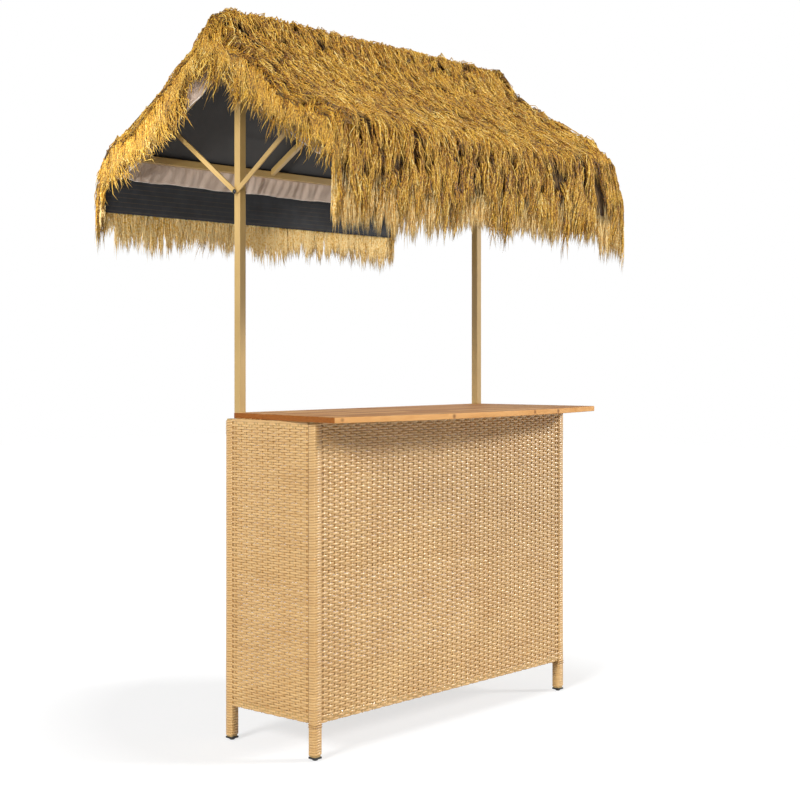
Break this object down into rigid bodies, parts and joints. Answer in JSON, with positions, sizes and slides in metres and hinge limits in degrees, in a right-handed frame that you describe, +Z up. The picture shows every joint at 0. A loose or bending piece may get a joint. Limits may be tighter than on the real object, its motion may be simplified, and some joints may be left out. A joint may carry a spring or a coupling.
{
  "type": "tiki bar hut",
  "caption": "Patio bar counter clad in woven wicker, with a bow-fronted hardwood top and posts that carry a gable roof of thatch over a gathered cloth canopy.",
  "frame": {"origin": "on the ground, halfway along the counter, in the plane of the two posts and the ridge", "axes": "+X along the counter to the right as a guest faces it, +Y from the guests' side towards the barkeeper's side, +Z up"},
  "size_m": [1.514, 1.157, 2.3329],
  "materials": {
    "wicker": "satin",
    "steel": "satin",
    "black_plastic": "matte",
    "black_steel": "satin",
    "hardwood": "satin",
    "canopy_cloth": "matte",
    "mat": "matte",
    "thatch": "matte"
  },
  "bodies": {
    "hut": {"front_left_leg": "steel", "front_left_leg_wrap": "wicker", "front_left_foot_cap": "black_plastic", "front_right_leg": "steel", "front_right_leg_wrap": "wicker", "front_right_foot_cap": "black_plastic", "rear_left_leg": "steel", "rear_left_leg_wrap": "wicker", "rear_left_foot_cap": "black_plastic", "rear_right_leg": "steel", "rear_right_leg_wrap": "wicker", "rear_right_foot_cap": "black_plastic", "front_panel": "wicker", "front_bottom_rail": "steel", "front_top_rail": "steel", "left_panel": "wicker", "left_bottom_rail": "steel", "left_top_rail": "steel", "right_panel": "wicker", "right_bottom_rail": "steel", "right_top_rail": "steel", "rear_top_rail": "steel", "rear_bottom_rail": "steel", "lower_shelf": "wicker", "middle_shelf": "wicker", "left_shelf_rail": "steel", "right_shelf_rail": "steel", "tabletop": "hardwood", "left_post": "steel", "right_post": "steel", "left_post_plug": "black_steel", "right_post_plug": "black_steel", "ridge_beam": "steel", "front_eave_beam": "steel", "back_eave_beam": "steel", "left_front_rafter": "steel", "left_back_rafter": "steel", "middle_front_rafter": "steel", "middle_back_rafter": "steel", "right_front_rafter": "steel", "right_back_rafter": "steel", "left_front_brace": "steel", "left_back_brace": "steel", "left_brace_bolt": "black_steel", "right_front_brace": "steel", "right_back_brace": "steel", "right_brace_bolt": "black_steel", "canopy_cover": "canopy_cloth", "front_valance": "canopy_cloth", "back_valance": "canopy_cloth", "ridge_mat": "mat", "front_mat": "mat", "back_mat": "mat", "front_thatch": "thatch", "back_thatch": "thatch", "ridge_thatch": "thatch"},
    "front_left_foot": {"front_left_glide": "black_steel"},
    "front_right_foot": {"front_right_glide": "black_steel"},
    "rear_left_foot": {"rear_left_glide": "black_steel"},
    "rear_right_foot": {"rear_right_glide": "black_steel"}
  },
  "joints": [
    {"name": "front_left_levelling", "type": "slide", "parent": "hut", "child": "front_left_foot", "axis": [0, 0, -1], "range_m": [0, 0.01]},
    {"name": "front_right_levelling", "type": "slide", "parent": "hut", "child": "front_right_foot", "axis": [0, 0, -1], "range_m": [0, 0.01]},
    {"name": "rear_left_levelling", "type": "slide", "parent": "hut", "child": "rear_left_foot", "axis": [0, 0, -1], "range_m": [0, 0.01]},
    {"name": "rear_right_levelling", "type": "slide", "parent": "hut", "child": "rear_right_foot", "axis": [0, 0, -1], "range_m": [0, 0.01]}
  ]
}
